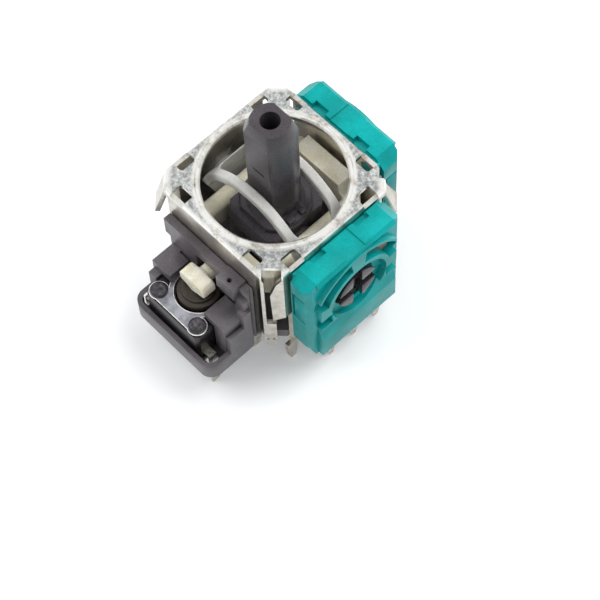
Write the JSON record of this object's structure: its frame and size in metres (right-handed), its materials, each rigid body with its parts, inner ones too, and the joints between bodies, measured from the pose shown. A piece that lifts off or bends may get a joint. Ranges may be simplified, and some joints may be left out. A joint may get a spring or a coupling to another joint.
{
  "type": "thumb lever module",
  "caption": "Two-axis sprung thumb lever in a folded metal cover, with rotary sensors on adjacent sides and a press switch beside it.",
  "frame": {"origin": "on the lever's axis at rest, in the plane where the plastic base meets the circuit board", "axes": "+Z along the lever at rest, away from the board; +X toward the front sensor; +Y toward the rear sensor; the press switch is on -Y"},
  "size_m": [0.0164, 0.0212, 0.022],
  "materials": {
    "tinplate": "tinned sheet, lightly scuffed",
    "base_plastic": "satin",
    "lever_plastic": "satin",
    "arch_plastic": "translucent natural",
    "rocker_plastic": "cream",
    "seat_plastic": "satin",
    "spring_wire": "bright",
    "sensor_green": "satin",
    "rotor_plastic": "satin",
    "wiper_metal": "bright",
    "card": "laminate",
    "terminal_tin": "tinned",
    "switch_black": "satin",
    "switch_plate": "bright",
    "plunger_brown": "satin"
  },
  "bodies": {
    "module": {"frame_cover": "tinplate", "base_moulding": "base_plastic", "front_pot_housing": "sensor_green", "rear_pot_housing": "sensor_green", "front_track_card": "card", "rear_track_card": "card", "front_terminal_1": "terminal_tin", "front_terminal_2": "terminal_tin", "front_terminal_3": "terminal_tin", "rear_terminal_1": "terminal_tin", "rear_terminal_2": "terminal_tin", "rear_terminal_3": "terminal_tin", "switch_body": "switch_black", "switch_cover": "switch_plate", "switch_terminal_1": "terminal_tin", "switch_terminal_2": "terminal_tin", "switch_terminal_3": "terminal_tin", "switch_terminal_4": "terminal_tin", "return_spring": "spring_wire", "snap_dome": "spring_wire"},
    "seat": {"centring_seat": "seat_plastic"},
    "rocker": {"rocker_lever": "rocker_plastic"},
    "lever": {"stick": "lever_plastic"},
    "arch": {"arch_lever": "arch_plastic", "front_rotor": "rotor_plastic", "front_wiper": "wiper_metal"},
    "rear_sensor_rotor": {"rear_rotor": "rotor_plastic", "rear_wiper": "wiper_metal"},
    "plunger": {"switch_button": "plunger_brown"}
  },
  "joints": [
    {"name": "stick_press", "type": "hinge", "parent": "module", "child": "seat", "pos_m": [0, 0.0064, 0.0056], "axis": [1, 0, 0], "range_deg": [0, 1], "stiffness_Nm_per_rad": 2, "springref_deg": -0.29, "deforming": ["return_spring"]},
    {"name": "rocker_tilt", "type": "hinge", "parent": "seat", "child": "rocker", "pos_m": [0, 0, 0.0056], "axis": [0, 1, 0], "range_deg": [-18, 18], "stiffness_Nm_per_rad": 0.03},
    {"name": "stick_tilt", "type": "hinge", "parent": "rocker", "child": "lever", "pos_m": [0, 0, 0.0056], "axis": [1, 0, 0], "range_deg": [-18, 18], "stiffness_Nm_per_rad": 0.03},
    {"name": "arch_tilt", "type": "hinge", "parent": "module", "child": "arch", "pos_m": [0, 0, 0.0056], "axis": [1, 0, 0], "range_deg": [-18, 18]},
    {"name": "rear_rotor_turn", "type": "hinge", "parent": "module", "child": "rear_sensor_rotor", "pos_m": [0, 0.0083, 0.0056], "axis": [0, 1, 0], "range_deg": [-18, 18]},
    {"name": "switch_press", "type": "slide", "parent": "module", "child": "plunger", "axis": [0, 0, -1], "range_m": [0, 0.00026], "deforming": ["snap_dome"]}
  ],
  "couplings": [
    {"joint": "arch_tilt", "follows": "stick_tilt", "ratio": 1},
    {"joint": "rear_rotor_turn", "follows": "rocker_tilt", "ratio": 1},
    {"joint": "switch_press", "follows": "stick_press", "m_per_rad": 0.0148}
  ]
}
